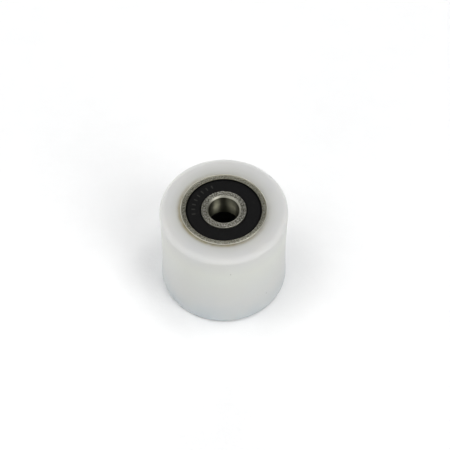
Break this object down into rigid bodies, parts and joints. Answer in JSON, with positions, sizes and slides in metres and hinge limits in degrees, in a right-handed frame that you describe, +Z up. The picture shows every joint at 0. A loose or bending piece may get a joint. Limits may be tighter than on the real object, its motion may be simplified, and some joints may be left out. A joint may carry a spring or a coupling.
{
  "type": "guide roller",
  "caption": "Plain white plastic guide roller on sealed ball bearings with a through bore, for chains, belts or sliding parts to run on.",
  "frame": {"origin": "on the bore's axis, in the plane of the body's lower end face, which the roller stands on", "axes": "+Z up along the bore, which is the axis that the roller turns on; X and Y are alike"},
  "size_m": [0.033, 0.033, 0.028],
  "materials": {
    "nylon": "milky translucent natural nylon, finely turned, slightly olive near the bearing seats",
    "ring_steel": "ground bearing steel, faintly speckled faces, polished bore",
    "ball_steel": "polished",
    "cage_steel": "pressed sheet steel, satin",
    "seal_rubber": "satin black nitrile rubber",
    "washer_steel": "plain pressed sheet steel",
    "sleeve_steel": "black oxide"
  },
  "bodies": {
    "hub": {"distance_sleeve": "sleeve_steel", "upper_inner_ring": "ring_steel", "lower_inner_ring": "ring_steel"},
    "roller": {"roller_body": "nylon", "upper_outer_ring": "ring_steel", "upper_top_seal": "seal_rubber", "upper_top_seal_washer": "washer_steel", "upper_bottom_seal": "seal_rubber", "upper_bottom_seal_washer": "washer_steel", "lower_outer_ring": "ring_steel", "lower_top_seal": "seal_rubber", "lower_top_seal_washer": "washer_steel", "lower_bottom_seal": "seal_rubber", "lower_bottom_seal_washer": "washer_steel"},
    "upper_cage": {"upper_cage_top_half": "cage_steel", "upper_cage_bottom_half": "cage_steel", "upper_cage_rivet_1": "cage_steel", "upper_cage_rivet_2": "cage_steel", "upper_cage_rivet_3": "cage_steel", "upper_cage_rivet_4": "cage_steel", "upper_cage_rivet_5": "cage_steel", "upper_cage_rivet_6": "cage_steel", "upper_cage_rivet_7": "cage_steel"},
    "upper_ball_1": {"upper_ball_1": "ball_steel"},
    "upper_ball_2": {"upper_ball_2": "ball_steel"},
    "upper_ball_3": {"upper_ball_3": "ball_steel"},
    "upper_ball_4": {"upper_ball_4": "ball_steel"},
    "upper_ball_5": {"upper_ball_5": "ball_steel"},
    "upper_ball_6": {"upper_ball_6": "ball_steel"},
    "upper_ball_7": {"upper_ball_7": "ball_steel"},
    "lower_cage": {"lower_cage_top_half": "cage_steel", "lower_cage_bottom_half": "cage_steel", "lower_cage_rivet_1": "cage_steel", "lower_cage_rivet_2": "cage_steel", "lower_cage_rivet_3": "cage_steel", "lower_cage_rivet_4": "cage_steel", "lower_cage_rivet_5": "cage_steel", "lower_cage_rivet_6": "cage_steel", "lower_cage_rivet_7": "cage_steel"},
    "lower_ball_1": {"lower_ball_1": "ball_steel"},
    "lower_ball_2": {"lower_ball_2": "ball_steel"},
    "lower_ball_3": {"lower_ball_3": "ball_steel"},
    "lower_ball_4": {"lower_ball_4": "ball_steel"},
    "lower_ball_5": {"lower_ball_5": "ball_steel"},
    "lower_ball_6": {"lower_ball_6": "ball_steel"},
    "lower_ball_7": {"lower_ball_7": "ball_steel"}
  },
  "joints": [
    {"name": "roller_turn", "type": "hinge", "parent": "hub", "child": "roller", "pos_m": [0, 0, 0.014], "axis": [0, 0, 1], "continuous": true},
    {"name": "upper_cage_turn", "type": "hinge", "parent": "hub", "child": "upper_cage", "pos_m": [0, 0, 0.02435], "axis": [0, 0, 1], "continuous": true},
    {"name": "upper_ball_1_spin", "type": "hinge", "parent": "upper_cage", "child": "upper_ball_1", "pos_m": [0.0075, 0, 0.02435], "axis": [0, 0, 1], "continuous": true},
    {"name": "upper_ball_2_spin", "type": "hinge", "parent": "upper_cage", "child": "upper_ball_2", "pos_m": [0.00468, 0.00586, 0.02435], "axis": [0, 0, 1], "continuous": true},
    {"name": "upper_ball_3_spin", "type": "hinge", "parent": "upper_cage", "child": "upper_ball_3", "pos_m": [-0.00167, 0.00731, 0.02435], "axis": [0, 0, 1], "continuous": true},
    {"name": "upper_ball_4_spin", "type": "hinge", "parent": "upper_cage", "child": "upper_ball_4", "pos_m": [-0.00676, 0.00325, 0.02435], "axis": [0, 0, 1], "continuous": true},
    {"name": "upper_ball_5_spin", "type": "hinge", "parent": "upper_cage", "child": "upper_ball_5", "pos_m": [-0.00676, -0.00325, 0.02435], "axis": [0, 0, 1], "continuous": true},
    {"name": "upper_ball_6_spin", "type": "hinge", "parent": "upper_cage", "child": "upper_ball_6", "pos_m": [-0.00167, -0.00731, 0.02435], "axis": [0, 0, 1], "continuous": true},
    {"name": "upper_ball_7_spin", "type": "hinge", "parent": "upper_cage", "child": "upper_ball_7", "pos_m": [0.00468, -0.00586, 0.02435], "axis": [0, 0, 1], "continuous": true},
    {"name": "lower_cage_turn", "type": "hinge", "parent": "hub", "child": "lower_cage", "pos_m": [0, 0, 0.00365], "axis": [0, 0, 1], "continuous": true},
    {"name": "lower_ball_1_spin", "type": "hinge", "parent": "lower_cage", "child": "lower_ball_1", "pos_m": [0.0075, 0, 0.00365], "axis": [0, 0, 1], "continuous": true},
    {"name": "lower_ball_2_spin", "type": "hinge", "parent": "lower_cage", "child": "lower_ball_2", "pos_m": [0.00468, 0.00586, 0.00365], "axis": [0, 0, 1], "continuous": true},
    {"name": "lower_ball_3_spin", "type": "hinge", "parent": "lower_cage", "child": "lower_ball_3", "pos_m": [-0.00167, 0.00731, 0.00365], "axis": [0, 0, 1], "continuous": true},
    {"name": "lower_ball_4_spin", "type": "hinge", "parent": "lower_cage", "child": "lower_ball_4", "pos_m": [-0.00676, 0.00325, 0.00365], "axis": [0, 0, 1], "continuous": true},
    {"name": "lower_ball_5_spin", "type": "hinge", "parent": "lower_cage", "child": "lower_ball_5", "pos_m": [-0.00676, -0.00325, 0.00365], "axis": [0, 0, 1], "continuous": true},
    {"name": "lower_ball_6_spin", "type": "hinge", "parent": "lower_cage", "child": "lower_ball_6", "pos_m": [-0.00167, -0.00731, 0.00365], "axis": [0, 0, 1], "continuous": true},
    {"name": "lower_ball_7_spin", "type": "hinge", "parent": "lower_cage", "child": "lower_ball_7", "pos_m": [0.00468, -0.00586, 0.00365], "axis": [0, 0, 1], "continuous": true}
  ],
  "couplings": [
    {"joint": "upper_cage_turn", "follows": "roller_turn", "ratio": 0.6323},
    {"joint": "upper_ball_1_spin", "follows": "roller_turn", "ratio": 1.7573},
    {"joint": "upper_ball_2_spin", "follows": "roller_turn", "ratio": 1.7573},
    {"joint": "upper_ball_3_spin", "follows": "roller_turn", "ratio": 1.7573},
    {"joint": "upper_ball_4_spin", "follows": "roller_turn", "ratio": 1.7573},
    {"joint": "upper_ball_5_spin", "follows": "roller_turn", "ratio": 1.7573},
    {"joint": "upper_ball_6_spin", "follows": "roller_turn", "ratio": 1.7573},
    {"joint": "upper_ball_7_spin", "follows": "roller_turn", "ratio": 1.7573},
    {"joint": "lower_cage_turn", "follows": "roller_turn", "ratio": 0.6323},
    {"joint": "lower_ball_1_spin", "follows": "roller_turn", "ratio": 1.7573},
    {"joint": "lower_ball_2_spin", "follows": "roller_turn", "ratio": 1.7573},
    {"joint": "lower_ball_3_spin", "follows": "roller_turn", "ratio": 1.7573},
    {"joint": "lower_ball_4_spin", "follows": "roller_turn", "ratio": 1.7573},
    {"joint": "lower_ball_5_spin", "follows": "roller_turn", "ratio": 1.7573},
    {"joint": "lower_ball_6_spin", "follows": "roller_turn", "ratio": 1.7573},
    {"joint": "lower_ball_7_spin", "follows": "roller_turn", "ratio": 1.7573}
  ]
}
